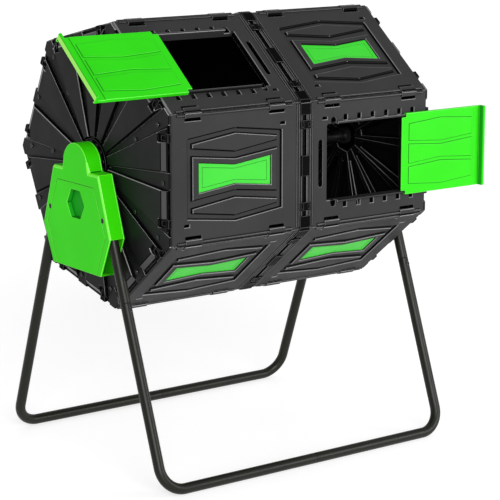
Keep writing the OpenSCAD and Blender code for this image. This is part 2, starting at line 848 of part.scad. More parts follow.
module outer_cover(s) {
    depth = cover_face_x - (cover_back_x + cover_back_t + 0.1);
    face_low = depth - cover_face_t;
    bore_depth = axle_half - cover_face_x + depth + 1.5;
    line_w = 1.6;
    color("#3fd61f") on_cover(s, cover_face_x - depth) difference() {
        union() {
            translate([0, 0, face_low]) linear_extrude(cover_face_t) cover_outline(0);
            linear_extrude(depth) difference() {
                cover_outline(0);
                cover_outline(cover_wall);
                leg_openings();
            }
            translate([0, 0, 20]) cylinder(h = depth - 20 - eps, r = axle_boss_r, $fn = 64);
            translate([0, hex_z, depth - hex_d - cover_wall]) linear_extrude(hex_d + cover_wall - eps)
                circle(r = hex_r + 1.155 * cover_wall, $fn = 6);
            for (side = [-1, 1]) translate([side * cover_screw_y, cover_screw_z, face_low - 1.2])
                cylinder(h = 2, r = cover_screw_head_r + 2, $fn = 48);
        }
        translate([0, hex_z, depth - hex_d]) linear_extrude(hex_d + 1) circle(r = hex_r, $fn = 6);
        translate([0, 0, -1]) cylinder(h = bore_depth, r = axle_d / 2 + 0.1, $fn = 64);
        translate([0, 0, depth - 0.9]) linear_extrude(1) difference() {
            inset_line_outline(0);
            inset_line_outline(line_w);
        }
        for (side = [-1, 1]) translate([side * cover_screw_y, cover_screw_z, 0]) {
            cylinder(h = depth + 1, r = cover_screw_r + 0.2, $fn = 32);
            translate([0, 0, depth - 2]) cylinder(h = 3, r = cover_screw_head_r + 0.3, $fn = 32);
        }
    }
}

module inner_cover(s) {
    post_h = leg_x - tube_d / 2 - 0.2 - cover_back_x;
    color("#2fae17") on_cover(s, cover_back_x) difference() {
        union() {
            linear_extrude(cover_back_t) cover_outline(0);
            cylinder(h = 18, r = axle_boss_r, $fn = 64);
            for (side = [-1, 1]) translate([side * cover_screw_y, cover_screw_z, 0])
                cylinder(h = post_h, r = 7, $fn = 48);
        }
        translate([0, 0, -1]) cylinder(h = 22, r = axle_d / 2 + 0.1, $fn = 64);
        for (side = [-1, 1]) translate([side * cover_screw_y, cover_screw_z, -1])
            cylinder(h = post_h + 2, r = cover_screw_r + 0.05, $fn = 32);
    }
}

// Machine screws through a cover, the leg inside it and the back plate
module cover_screws() {
    length = cover_face_x - 2 - cover_back_x;
    color("#1f2123") for (s = [-1, 1], side = [-1, 1]) on_cover(s, cover_back_x)
        translate([side * cover_screw_y, cover_screw_z, 0]) {
            translate([0, 0, 0.2]) cylinder(h = length, r = cover_screw_r, $fn = 32);
            translate([0, 0, length]) cylinder(h = 1.8, r = cover_screw_head_r, $fn = 32);
        }
}

// Screws that pin the leg joints, on the outward face of each leg
module leg_screws() {
    color("#1f2123") for (s = [-1, 1], f = [0, 1]) mirror([0, f, 0])
        translate([s * leg_x, -leg_joint_y, leg_joint_z]) rotate([180 - lean, 0, 0])
            translate([0, 0, joint_screw_drop]) rotate([-90, 0, 0]) {
                translate([0, 0, spigot_in / 2 - 2])
                    cylinder(h = (tube_d - spigot_in) / 2 + 2.1, r = joint_screw_r - 0.1, $fn = 24);
                translate([0, 0, tube_d / 2 + 0.05]) cylinder(h = 2.4, r = 4.2, $fn = 32);
            }
}

module floor_bar_screws() {
    color("#1f2123") for (f = [-1, 1])
        translate([bar_joint_x + joint_screw_drop, f * foot_w / 2, floor_z])
            rotate([f * lean, 0, 0]) translate([0, 0, -tube_d / 2 + 0.2])
                cylinder(h = tube_d / 2, r = joint_screw_r - 0.1, $fn = 24);
}

// ---------- drawing ----------

lower_leg(-1, -1);  // front_left_leg
lower_leg(1, -1);  // front_right_leg
lower_leg(-1, 1);  // rear_left_leg
lower_leg(1, 1);  // rear_right_leg
upper_frame(-1);  // left_upper_frame
upper_frame(1);  // right_upper_frame
outer_cover(-1);  // left_outer_cover
outer_cover(1);  // right_outer_cover
inner_cover(-1);  // left_inner_cover
inner_cover(1);  // right_inner_cover
axle();
cover_screws();
leg_screws();
floor_bar_screws();
for (s = [-1, 1], k = [0 : sides - 1])
    panel(s, k);
window_inlays(-1);  // left_window_inlays
window_inlays(1);  // right_window_inlays
divider();
hub_flange(-1);  // left_hub_flange
hub_flange(1);  // right_hub_flange
bush(-1);  // left_bush
bush(1);  // right_bush
end_wedges(-1, 0);  // left_end_wedges_a
end_wedges(-1, 1);  // left_end_wedges_b
end_wedges(1, 0);  // right_end_wedges_a
end_wedges(1, 1);  // right_end_wedges_b
end_screws(-1);  // left_end_screws
end_screws(1);  // right_end_screws
rim_hooks(-1);  // left_rim_hooks
rim_hooks(1);  // right_rim_hooks
seam_hooks();
seam_clips();
corner_connectors();
door(-1);  // left_door
door(1);  // right_door
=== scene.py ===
"""Looks of the compost tumbler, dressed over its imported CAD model, in metres."""

import json
import math

import bmesh
import bpy
import numpy as np
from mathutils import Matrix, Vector
from mathutils.geometry import delaunay_2d_cdt


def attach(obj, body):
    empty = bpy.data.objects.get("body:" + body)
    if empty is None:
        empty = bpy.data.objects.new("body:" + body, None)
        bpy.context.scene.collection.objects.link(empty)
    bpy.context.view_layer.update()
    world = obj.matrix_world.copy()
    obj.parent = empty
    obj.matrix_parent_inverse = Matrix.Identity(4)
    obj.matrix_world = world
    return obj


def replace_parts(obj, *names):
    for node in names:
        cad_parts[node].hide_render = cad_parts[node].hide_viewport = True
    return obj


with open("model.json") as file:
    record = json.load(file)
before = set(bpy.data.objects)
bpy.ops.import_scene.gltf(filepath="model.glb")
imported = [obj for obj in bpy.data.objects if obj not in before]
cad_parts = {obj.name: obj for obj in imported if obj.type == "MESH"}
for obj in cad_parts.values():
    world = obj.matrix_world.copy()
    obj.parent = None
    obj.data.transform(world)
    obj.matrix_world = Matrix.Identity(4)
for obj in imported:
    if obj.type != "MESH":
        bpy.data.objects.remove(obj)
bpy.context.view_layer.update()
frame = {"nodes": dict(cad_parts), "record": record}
body_of = {
    node: body
    for body, nodes in frame["record"]["behaviour"]["bodies"].items()
    for node in nodes
}
slot_of = {s["node"]: s["material_slot"] for s in frame["record"]["subparts"]}

# Design sizes, in metres, as in the part's source.
SIDES = 7
TURN = 2 * math.pi / SIDES
SIDE_W = 0.262
APOTHEM = SIDE_W / 2 / math.tan(TURN / 2)
HALF_L = 0.325
AXLE_Z = 0.629
TUBE_D = 0.022
FOOT_W = 0.586
LEG_X = 0.363
LEG_TOP_Y = 0.066
BEND_R = 0.050
LEG_JOINT_DROP = 0.258
BAR_JOINT_X = 0.014
CROWN_DROP = 0.030
CROWN_TOP_DROP = 0.017
CROSSBAR_R = 0.010
COVER_FACE_X = LEG_X + 0.0155
DOOR_END_X = 0.477
# The side covers' outline: half widths, and heights measured from the axle.
DOME_R = 0.047
SHOULDER_Y, SHOULDER_Z = 0.087, -0.008
WAIST_Y, WAIST_Z = 0.130, -0.133
BASE_Y, BASE_Z = 0.093, -0.214
HEX_R = 0.034
HEX_Z = -0.079
HEX_D = 0.011

# A finish's materials by number: its faces, its outer edges painted lighter as a highlight, its painted
# shade for inner corners and unlit places, and a node's own after them, which paint shade or light.
FACES, PAINTED_HIGHLIGHT, PAINTED_SHADE, SPECIAL, LIP_PAINTED_LIGHT = range(5)

# ---------- materials ----------


def grained(name, colour, rough, grain, bump, variation, metallic=0.0, specular=0.5):
    """A material with fine grain in its relief and broad, faint unevenness in colour and gloss."""
    mat = bpy.data.materials.new(name)
    mat.use_nodes = True
    nodes, links = mat.node_tree.nodes, mat.node_tree.links
    shader = nodes["Principled BSDF"]
    shader.inputs["Metallic"].default_value = metallic
    shader.inputs["Specular IOR Level"].default_value = specular
    coords = nodes.new("ShaderNodeTexCoord")

    def noise(scale, detail):
        node = nodes.new("ShaderNodeTexNoise")
        node.inputs["Scale"].default_value = scale
        node.inputs["Detail"].default_value = detail
        links.new(coords.outputs["Object"], node.inputs["Vector"])
        return node.outputs["Fac"]

    def spread(source, low, high):
        node = nodes.new("ShaderNodeMapRange")
        node.inputs["From Min"].default_value = 0.3
        node.inputs["From Max"].default_value = 0.7
        node.inputs["To Min"].default_value = low
        node.inputs["To Max"].default_value = high
        links.new(source, node.inputs["Value"])
        return node.outputs["Result"]

    mix = nodes.new("ShaderNodeMix")
    mix.data_type = "RGBA"
    mix.inputs["A"].default_value = (*[c * (1 - variation) for c in colour], 1)
    mix.inputs["B"].default_value = (*[min(1, c * (1 + variation)) for c in colour], 1)
    links.new(spread(noise(7, 4), 0, 1), mix.inputs["Factor"])
    links.new(mix.outputs["Result"], shader.inputs["Base Color"])
    links.new(spread(noise(26, 3), rough * 0.9, rough * 1.12), shader.inputs["Roughness"])
    relief = nodes.new("ShaderNodeBump")
    relief.inputs["Strength"].default_value = bump
    relief.inputs["Distance"].default_value = 0.0002
    links.new(noise(grain, 2), relief.inputs["Height"])
    links.new(relief.outputs["Normal"], shader.inputs["Normal"])
    return mat


def finish(
    name, colour, rough, edge, corner, grain, bump, variation, specular, edge_rough=0.22, metallic=0.0
):
    """Three materials for one finish: its faces, its smoother outer edges painted lighter as a highlight,
    and its inner corners painted dark as shade.
    """
    shared = {"grain": grain, "bump": bump, "variation": variation, "metallic": metallic}
    faces = grained(name, colour, rough, specular=specular, **shared)
    edges = grained(name + "_edge_painted_highlight", edge, edge_rough, specular=max(0.5, specular), **shared)
    corners = grained(name + "_corner_painted_shade", corner, 0.6, specular=0.06, **shared)
    return faces, edges, corners


# In every finish, edge is the colour of the outer edges' painted highlight and corner the colour of the
# inner corners' painted shade.
CHARCOAL = finish(
    "charcoal_plastic",
    (0.025, 0.025, 0.0255),
    0.50,
    edge=(0.14, 0.14, 0.142),
    corner=(0.0008, 0.0008, 0.0008),
    grain=1500,
    bump=0.22,
    variation=0.12,
    specular=0.08,
)
END_CHARCOAL = finish(
    "end_plastic",
    (0.006, 0.006, 0.0065),
    0.44,
    edge=(0.22, 0.22, 0.22),
    corner=(0.0008, 0.0008, 0.0008),
    grain=1500,
    bump=0.22,
    variation=0.12,
    specular=0.10,
)
# The beads' near-black colour is painted shade along the hinge lines, on a glossy surface.
BEAD_SHADE = grained(
    "bead_painted_shade", (0.003, 0.003, 0.003), 0.25, grain=1500, bump=0.1, variation=0.1, specular=0.5
)
PANEL = CHARCOAL + (BEAD_SHADE,)
# The lighter colour of the band sloping to a drum end's rim is a painted sheen.
RIM_SHEEN = grained(
    "rim_painted_sheen", (0.045, 0.045, 0.046), 0.35, grain=1500, bump=0.15, variation=0.1, specular=0.3
)
END_PANEL = END_CHARCOAL + (RIM_SHEEN,)
BLACK = finish(
    "black_plastic",
    (0.0012, 0.0012, 0.0013),
    0.4,
    edge=(0.02, 0.02, 0.02),
    corner=(0.0005, 0.0005, 0.0005),
    grain=1200,
    bump=0.1,
    variation=0.1,
    specular=0.02,
)
GREEN = finish(
    "green_plastic",
    (0.030, 0.56, 0.0015),
    0.40,
    edge=(0.12, 0.76, 0.02),
    corner=(0.004, 0.16, 0.004),
    grain=1300,
    bump=0.15,
    variation=0.05,
    specular=0.09,
    edge_rough=0.3,
)
# Darker green on the doors' groove and small walls is painted shade.
DOOR_SHADE_GREEN = grained(
    "door_painted_shade", (0.008, 0.28, 0.010), 0.5, grain=1300, bump=0.15, variation=0.05, specular=0.06
)
# Pale green on the door lips' outer faces is a painted highlight.
DOOR_LIGHT_GREEN = grained(
    "door_painted_highlight", (0.30, 0.74, 0.10), 0.35, grain=1300, bump=0.1, variation=0.05, specular=0.2
)
DOOR_GREEN = finish(
    "door_green",
    (0.020, 0.50, 0.0035),
    0.40,
    edge=(0.05, 0.60, 0.012),
    corner=(0.004, 0.20, 0.006),
    grain=1300,
    bump=0.15,
    variation=0.05,
    specular=0.09,
    edge_rough=0.3,
)
DOOR = DOOR_GREEN + (DOOR_SHADE_GREEN, DOOR_LIGHT_GREEN)
# Darker green in the covers' hexagonal recess is painted shade.
RECESS_SHADE_GREEN = grained(
    "recess_painted_shade", (0.008, 0.30, 0.012), 0.5, grain=1300, bump=0.15, variation=0.05, specular=0.06
)
COVER = GREEN + (RECESS_SHADE_GREEN,)
INLAY = finish(
    "inlay_plastic",
    (0.03, 0.47, 0.022),
    0.42,
    edge=(0.06, 0.62, 0.04),
    corner=(0.004, 0.12, 0.006),
    grain=1300,
    bump=0.15,
    variation=0.05,
    specular=0.2,
    edge_rough=0.3,
)
TUBE = finish(
    "tube_paint",
    (0.007, 0.008, 0.005),
    0.34,
    edge=(0.02, 0.021, 0.017),
    corner=(0.001, 0.001, 0.001),
    grain=900,
    bump=0.12,
    variation=0.10,
    specular=0.20,
)
BUSH = finish(
    "bush_plastic",
    (0.02, 0.02, 0.021),
    0.45,
    edge=(0.04, 0.04, 0.04),
    corner=(0.002, 0.002, 0.002),
    grain=1200,
    bump=0.1,
    variation=0.05,
    specular=0.3,
)
STEEL = finish(
    "plated_steel",
    (0.36, 0.37, 0.38),
    0.32,
    edge=(0.45, 0.46, 0.47),
    corner=(0.1, 0.1, 0.1),
    grain=1400,
    bump=0.08,
    variation=0.08,
    specular=0.5,
    metallic=1.0,
)
DARK_STEEL = finish(
    "dark_steel",
    (0.008, 0.008, 0.009),
    0.3,
    edge=(0.20, 0.20, 0.21),
    corner=(0.004, 0.004, 0.004),
    grain=1400,
    bump=0.1,
    variation=0.1,
    specular=0.5,
    metallic=0.8,
)

FINISHES = {
    "stand_tube": TUBE,
    "green_plastic": GREEN,
    "drum_plastic": CHARCOAL,
    "end_plastic": END_CHARCOAL,
    "black_plastic": BLACK,
    "bush_plastic": BUSH,
    "axle_steel": STEEL,
    "steel_screws": DARK_STEEL,
    "dark_screws": DARK_STEEL,
}

# ---------- dressing a CAD node ----------

JOIN_DIST = 2e-6
FLAT = math.radians(0.5)
CURVED = math.radians(10.5)
BROAD = 0.0003
ARC_STEPS = 3
HOLLOW_NARROW = 1.4
HOLLOW_WIDE = 1.8
HOLLOW_MOST = 2.5
ROOM_REACH = 0.01
ROOM_SHARE = 0.4
FITTING_ROUNDS = 14
SHRINK = 0.7
LEAST_LEFT = 0.08
FAN_LIFT = 0.2
ZERO = Vector((0, 0, 0))


def clean_mesh(node):
    """The node's mesh with its points joined and its flat faces made whole."""
    bm = bmesh.new()
    bm.from_mesh(frame["nodes"][node].data)
    bmesh.ops.remove_doubles(bm, verts=bm.verts, dist=JOIN_DIST)
    bmesh.ops.dissolve_degenerate(bm, edges=bm.edges, dist=JOIN_DIST)
    bmesh.ops.dissolve_limit(
        bm, angle_limit=math.radians(0.4), verts=bm.verts, edges=bm.edges, use_dissolve_boundaries=False
    )
    bm.normal_update()
    return bm


def flat_regions(bm):
    """Groups the faces into flat regions: a number for each face, and each region's normal and area."""
    region = {}
    normals = []
    areas = []
    for start in bm.faces:
        if start in region:
            continue
        number = len(normals)
        region[start] = number
        stack = [start]
        normal = Vector((0, 0, 0))
        while stack:
            face = stack.pop()
            normal += face.normal * face.calc_area()
            for edge in face.edges:
                if edge.calc_face_angle(0) < FLAT:
                    for other in edge.link_faces:
                        if other not in region:
                            region[other] = number
                            stack.append(other)
        areas.append(normal.length)
        normals.append(normal.normalized())
    return region, normals, areas


class Half:
    """One region's side of an edge between two regions, running with the region on its left."""

    def __init__(self, loop, region):
        self.loop = loop
        self.edge = loop.edge
        self.region = region
        self.start = loop.vert.co.copy()
        self.end = loop.link_loop_next.vert.co.copy()
        self.length = (self.end - self.start).length
        self.along = (self.end - self.start) / self.length


def trace_halves(bm, region, normals):
    """Every half edge, linked to the next one round its region and to its twin in the next region."""
    halves = {}
    for face in bm.faces:
        for loop in face.loops:
            across = loop.link_loop_radial_next
            if region[across.face] != region[face]:
                halves[loop] = Half(loop, region[face])
    for loop, half in halves.items():
        half.twin = halves[loop.link_loop_radial_next]
        half.normal = normals[half.region]
        half.inward = half.normal.cross(half.along)
        step = loop.link_loop_next
        while step not in halves:
            step = step.link_loop_radial_next.link_loop_next
        half.next = halves[step]
        half.next.before = half
    return list(halves.values())


def edge_radii(halves, normals, areas, width, width_at):
    """The rounding radius of every edge: 0 along a curved face, and less where there is no room.

    A hollow edge is drawn wider, and may have a radius of its own on each of its two sides.
    """
    for half in halves:
        half.turn = normals[half.region].angle(normals[half.twin.region])
        smooth = half.turn < CURVED and min(areas[half.region], areas[half.twin.region]) < BROAD
        half.smooth = smooth
        own = (width_at(half.edge) if width_at else None) or width
        half.hollow = normals[half.twin.region].dot(half.inward) > 0
        if half.hollow:
            own *= HOLLOW_NARROW if areas[half.region] < BROAD else HOLLOW_WIDE
        half.radius = 0.0 if smooth else own
    by_region = {}
    for half in halves:
        by_region.setdefault(half.region, []).append(half)
    for group in by_region.values():
        starts = np.array([h.start for h in group])
        alongs = np.array([h.along for h in group])
        inwards = np.array([h.inward for h in group])
        lengths = np.array([h.length for h in group])
        befores = np.array([h.before.inward for h in group])
        away = starts[None, :, :] - starts[:, None, :]
        depth = np.einsum("ijk,ik->ij", away, inwards)
        place = np.einsum("ijk,ik->ij", away, alongs)
        facing = np.einsum("ik,jk->ij", inwards, inwards + befores)
        near = (depth > 1e-6) & (place > -0.001) & (place < lengths[:, None] + 0.001) & (facing < -0.2)
        depth = np.where(near, depth, np.inf)
        for i, j in zip(*np.nonzero(depth < ROOM_REACH)):
            room = depth[i, j] * ROOM_SHARE
            for half in (group[i], group[j], group[j].before):
                if half.radius > room:
                    half.radius = room
                    if not half.hollow:
                        half.twin.radius = room
    for half in halves:
        least = min(half.radius, half.twin.radius)
        half.radius = min(half.radius, HOLLOW_MOST * least) if half.hollow else least


def corner_place(half):
    """Where a region's corner moves to when its two edges are rounded off."""
    before = half.before
    turned = before.along.cross(half.along).dot(half.normal)
    if abs(turned) > 0.06:
        move = (half.along * before.radius - before.along * half.radius) / turned
    else:
        move = (half.inward + before.inward).normalized() * (half.radius + before.radius) / 2
    most = 3 * max(half.radius, before.radius)
    if move.length > most > 0:
        move *= most / move.length
    return half.start + move


def place_corners(halves):
    """Finds all corners, and lowers the radii until no edge of a region turns back on itself."""
    for _ in range(FITTING_ROUNDS):
        for half in halves:
            half.corner = corner_place(half)
        for half in halves:
            half.joined = None
        groups = []
        for half in halves:
            if half.joined is None:
                group = [half]
                half.joined = group
                step = half
                while step.smooth and step.twin.next.joined is None:
                    step = step.twin.next
                    step.joined = group
                    group.append(step)
                step = half
                while step.before.smooth and step.before.twin.joined is None:
                    step = step.before.twin
                    step.joined = group
                    group.append(step)
                groups.append(group)
        for group in groups:
            middle = sum((h.corner for h in group), ZERO) / len(group)
            for half in group:
                half.corner = middle
        tight = [
            h
            for h in halves
            if (h.next.corner - h.corner).dot(h.along) < LEAST_LEFT * h.length
            and max(h.before.radius, h.radius, h.next.radius) > 0
        ]
        if not tight:
            break
        for half in tight:
            for near in (half.before, half, half.next):
                near.radius = near.twin.radius = near.radius * SHRINK
    return groups


def arc(start, end, half):
    """Points between two corners, round the edge they were cut from."""
    middle = (start + end) / 2
    control = half.start + half.along * (middle - half.start).dot(half.along)
    weight = max(0.3, math.cos(half.turn / 2))
    points = []
    for i in range(1, ARC_STEPS):
        t = i / ARC_STEPS
        a, b, c = (1 - t) ** 2, 2 * t * (1 - t) * weight, t * t
        points.append((start * a + control * b + end * c) / (a + b + c))
    return points


def fill_region(loops, points, normal):
    """Triangles that cover a flat region, whose outlines are lists of point numbers."""
    if len(loops) == 1 and len(loops[0]) == 3:
        return [loops[0]]
    side = normal.orthogonal().normalized()
    up = normal.cross(side)
    flat = []
    numbers = []
    edges = []
    for loop in loops:
        first = len(flat)
        for i, number in enumerate(loop):
            flat.append(Vector((points[number].dot(side), points[number].dot(up))))
            numbers.append(number)
            edges.append((first + i, first + (i + 1) % len(loop)))
    if len(loops) == 1 and len(loops[0]) == 4:
        turns = []
        for i in range(4):
            a, b, c = flat[i - 1], flat[i], flat[(i + 1) % 4]
            turns.append((b - a).cross(c - b))
        if min(turns) > 0:
            return [loops[0]]
    centre = sum(flat, Vector((0, 0))) / len(flat)
    scaled = [(p - centre) * 1000 for p in flat]
    verts, _, faces, came_from, _, _ = delaunay_2d_cdt(scaled, edges, [], 1, 1e-6)
    heads = np.array([scaled[a] for a, b in edges])
    tails = np.array([scaled[b] for a, b in edges])
    triangles = []
    for face in faces:
        if any(not came_from[v] for v in face):
            continue
        middle = sum((verts[v] for v in face), Vector((0, 0))) / len(face)
        above = (heads[:, 1] > middle.y) != (tails[:, 1] > middle.y)
        a, b = heads[above], tails[above]
        cross = (b[:, 0] - a[:, 0]) * (middle.y - a[:, 1]) / (b[:, 1] - a[:, 1]) + a[:, 0]
        if np.count_nonzero(cross > middle.x) % 2:
            found = [numbers[came_from[v][0]] for v in face]
            if len(set(found)) == len(found):
                triangles.append(found)
    return triangles


def rings(halves, following):
    """Walks on from half to half until each walk closes, and gives every ring once."""
    seen = set()
    for first in halves:
        ring = []
        step = first
        while step not in seen:
            seen.add(step)
            ring.append(step)
            step = following(step)
        if ring:
            yield ring


def number_corners(groups, areas):
    """The joined corners as points, each with the mean normal of the regions that meet there."""
    points = []
    point_normals = []
    for group in groups:
        normal = sum((h.normal * areas[h.region] for h in group), ZERO)
        for half in group:
            half.number = len(points)
        points.append(group[0].corner)
        point_normals.append(normal.normalized())
    return points, point_normals


def make_arc(half, other, points, point_normals):
    """Adds the points of the arc from a half's corner to another's, and gives their numbers."""
    made = [half.number]
    for i, point in enumerate(arc(half.corner, other.corner, half)):
        t = (i + 1) / ARC_STEPS
        made.append(len(points))
        points.append(point)
        blend = point_normals[half.number] * (1 - t) + point_normals[other.number] * t
        point_normals.append(blend.normalized())
    made.append(other.number)
    return made


def corner_faces(halves, points, point_normals):
    """Draws every half's arc, and closes the corners where three or more rounded edges meet with fans."""
    faces = []
    for ring in rings(halves, lambda half: half.twin.next):
        ends = [(h, h.twin.next) for h in ring if h.number != h.twin.next.number]
        outline = []
        lift = 0
        for half in ring:
            half.arc = [half.number]
        for i, (half, other) in enumerate(ends):
            if len(ends) == 2 and i == 1:
                half.arc = list(reversed(ends[0][0].arc))
            else:
                half.arc = make_arc(half, other, points, point_normals)
            outline += half.arc[:-1]
            lift += half.twin.normal.dot(half.inward)
        if len(ends) > 2:
            centre = sum((points[n] for n in outline), ZERO) / len(outline)
            centre += (ring[0].start - centre) * FAN_LIFT
            normal = sum((point_normals[n] for n in outline), ZERO).normalized()
            middle = len(points)
            points.append(centre)
            point_normals.append(normal)
            outline.reverse()
            # Fans at outer corners take the painted highlight, fans at inner corners painted shade.
            for a, b in zip(outline, outline[1:] + outline[:1]):
                faces.append(((a, b, middle), PAINTED_HIGHLIGHT if lift < 0 else PAINTED_SHADE))
    return faces


def edge_faces(halves, areas, edge_at):
    """The strips along the rounded edges, between the arcs at their two ends."""
    faces = []
    rounded = set()
    for half in halves:
        if half.smooth or half.twin in rounded:
            continue
        rounded.add(half)
        left, right = half.arc, list(reversed(half.twin.arc))
        if len(left) == 1:
            left = left * len(right)
        if len(right) == 1:
            right = right * len(left)
        # Outer edges take the painted highlight and inner corners painted shade, unless edge_at picks
        # otherwise.
        which = PAINTED_HIGHLIGHT if half.twin.normal.dot(half.inward) < 0 else PAINTED_SHADE
        if which == PAINTED_HIGHLIGHT and edge_at:
            broad = half if areas[half.region] > areas[half.twin.region] else half.twin
            which = edge_at(-broad.inward, broad.start, half.radius)
        for i in range(len(left) - 1):
            face = []
            for number in (left[i], left[i + 1], right[i + 1], right[i]):
                if number not in face:
                    face.append(number)
            if len(face) > 2:
                faces.append((face, which))
    return faces


def region_faces(halves, points, normals, areas, shade_at):
    """The flat regions, drawn in from their edges."""
    outlines = {}
    for ring in rings(halves, lambda half: half.next):
        loop = [h.number for i, h in enumerate(ring) if i == 0 or h.number != ring[i - 1].number]
        if len(loop) > 2:
            outlines.setdefault(ring[0].region, []).append(loop)
    faces = []
    for region, loops in outlines.items():
        which = FACES
        if shade_at:
            spots = [points[n] for loop in loops for n in loop]
            which = shade_at(normals[region], sum(spots, ZERO) / len(spots), areas[region])
        for face in fill_region(loops, points, normals[region]):
            faces.append((face, which))
    return faces


def dress(node, name, width, finish_set=None, width_at=None, shade_at=None, edge_at=None):
    """A copy of a CAD node with rounded edges, which stands for it.

    Each flat region is drawn in from its edges, the edges become arcs between the regions, and the
    corners are closed with small fans. Faces keep their own material, outer edges get a painted
    highlight and inner corners painted shade.

    width_at gives an edge its own radius, shade_at gives flat regions their own material, which paints
    shade on some and light on others, and edge_at gives an outer edge a painted highlight, painted shade
    or the faces' own material from the direction in which it faces away from its broader region.
    """
    bm = clean_mesh(node)
    region, normals, areas = flat_regions(bm)
    halves = trace_halves(bm, region, normals)
    edge_radii(halves, normals, areas, width, width_at)
    points, point_normals = number_corners(place_corners(halves), areas)
    faces = corner_faces(halves, points, point_normals)
    faces += edge_faces(halves, areas, edge_at)
    faces += region_faces(halves, points, normals, areas, shade_at)
    bm.free()
    mesh = bpy.data.meshes.new(name)
    mesh.from_pydata(points, [], [f for f, _ in faces])
    for mat in finish_set or FINISHES[slot_of[node]]:
        mesh.materials.append(mat)
    mesh.polygons.foreach_set("material_index", [which for _, which in faces])
    mesh.polygons.foreach_set("use_smooth", [True] * len(faces))
    mesh.normals_split_custom_set_from_vertices(point_normals)
    piece = bpy.data.objects.new(name, mesh)
    bpy.context.scene.collection.objects.link(piece)
    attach(piece, body_of[node])
    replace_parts(piece, node)


# ---------- tubes ----------


AROUND = 40
BEND_STEPS = 16
LIP = 0.0012
NEAR_END = 0.020


def sweep(name, path, radius):
    """A round tube of the stand along a path, with rounded lips at its two ends."""
    path = [Vector(p) for p in path]
    bm = bmesh.new()
    rings = []
    side = None
    steps = []
    start_dir = (path[1] - path[0]).normalized()
    end_dir = (path[-1] - path[-2]).normalized()
    lips = [(0.0, -0.0018), (0.0, -0.0006), (LIP * 0.3, -0.0001), (LIP, 0.0)]
    for along, shrink in lips:
        steps.append((path[0] + start_dir * along, start_dir, radius + shrink))
    for i in range(1, len(path) - 1):
        heading = ((path[i] - path[i - 1]).normalized() + (path[i + 1] - path[i]).normalized()).normalized()
        steps.append((path[i], heading, radius))
    for along, shrink in reversed(lips):
        steps.append((path[-1] - end_dir * along, end_dir, radius + shrink))
    for centre, heading, r in steps:
        if side is None:
            side = heading.orthogonal().normalized()
        side = (side - heading * side.dot(heading)).normalized()
        other = heading.cross(side)
        ring = []
        for k in range(AROUND):
            angle = 2 * math.pi * k / AROUND
            ring.append(bm.verts.new(centre + (side * math.cos(angle) + other * math.sin(angle)) * r))
        rings.append(ring)
    for a, b in zip(rings, rings[1:]):
        for k in range(AROUND):
            face = bm.faces.new((a[k], a[(k + 1) % AROUND], b[(k + 1) % AROUND], b[k]))
            face.smooth = True
    for ring, heading in ((rings[0], -1), (rings[-1], 1)):
        bm.faces.new(ring if heading > 0 else list(reversed(ring)))
    bmesh.ops.recalc_face_normals(bm, faces=bm.faces)
    mesh = bpy.data.meshes.new(name)
    bm.to_mesh(mesh)
    bm.free()
    mesh.materials.append(TUBE[FACES])
    piece = bpy.data.objects.new(name, mesh)
    bpy.context.scene.collection.objects.link(piece)
    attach(piece, "stand")
    return piece


LEAN = math.atan((FOOT_W / 2 - LEG_TOP_Y) / (AXLE_Z - TUBE_D / 2))
JOINT_Z = AXLE_Z - LEG_JOINT_DROP
JOINT_Y = LEG_TOP_Y + LEG_JOINT_DROP * math.tan(LEAN)


def leg_point(s, f, along, inward):
    """A point of the bent leg on side s, front or rear f: up along it, or inward along its floor bar."""
    y = FOOT_W / 2 - along * math.sin(LEAN)
    return Vector((s * (LEG_X - inward), f * y, TUBE_D / 2 + along * math.cos(LEAN)))


def lower_leg(name, s, f):
    """A lower leg and its half of the floor bar, with the bend between them."""
    run = (JOINT_Z - TUBE_D / 2) / math.cos(LEAN)
    bar = LEG_X - s * BAR_JOINT_X
    path = [leg_point(s, f, along, 0) for along in (run, run - NEAR_END, BEND_R + NEAR_END)]
    for i in range(BEND_STEPS + 1):
        a = math.pi / 2 * i / BEND_STEPS
        path.append(leg_point(s, f, BEND_R - BEND_R * math.sin(a), BEND_R - BEND_R * math.cos(a)))
    path += [leg_point(s, f, 0, inward) for inward in (BEND_R + NEAR_END, bar - NEAR_END, bar)]
    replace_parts(sweep(name + "_tube", path, TUBE_D / 2), name)


def upper_legs(name, s):
    """The front and rear upper legs on one side, and the crossbar between them inside the cover."""
    for f, side in ((-1, "front"), (1, "rear")):
        near_top = CROWN_DROP + NEAR_END
        path = [
            Vector((s * LEG_X, f * JOINT_Y, JOINT_Z)),
            Vector((s * LEG_X, f * (JOINT_Y - NEAR_END * math.tan(LEAN)), JOINT_Z + NEAR_END)),
            Vector((s * LEG_X, f * (LEG_TOP_Y + near_top * math.tan(LEAN)), AXLE_Z - near_top)),
            Vector((s * LEG_X, f * (LEG_TOP_Y + CROWN_TOP_DROP * math.tan(LEAN)), AXLE_Z - CROWN_TOP_DROP)),
        ]
        piece = sweep(f"{name}_{side}_tube", path, TUBE_D / 2)
        if side == "front":
            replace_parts(piece, name)
    bar_y = LEG_TOP_Y + CROWN_DROP * math.tan(LEAN)
    stops = (-bar_y, NEAR_END - bar_y, bar_y - NEAR_END, bar_y)
    sweep(name + "_crossbar", [Vector((s * LEG_X, y, AXLE_Z - CROWN_DROP)) for y in stops], CROSSBAR_R)


for leg, s, f in (
    ("front_left_leg", -1, -1),
    ("front_right_leg", 1, -1),
    ("rear_left_leg", -1, 1),
    ("rear_right_leg", 1, 1),
):
    lower_leg(leg, s, f)
upper_legs("left_upper_frame", -1)
upper_legs("right_upper_frame", 1)

# ---------- plastic parts ----------


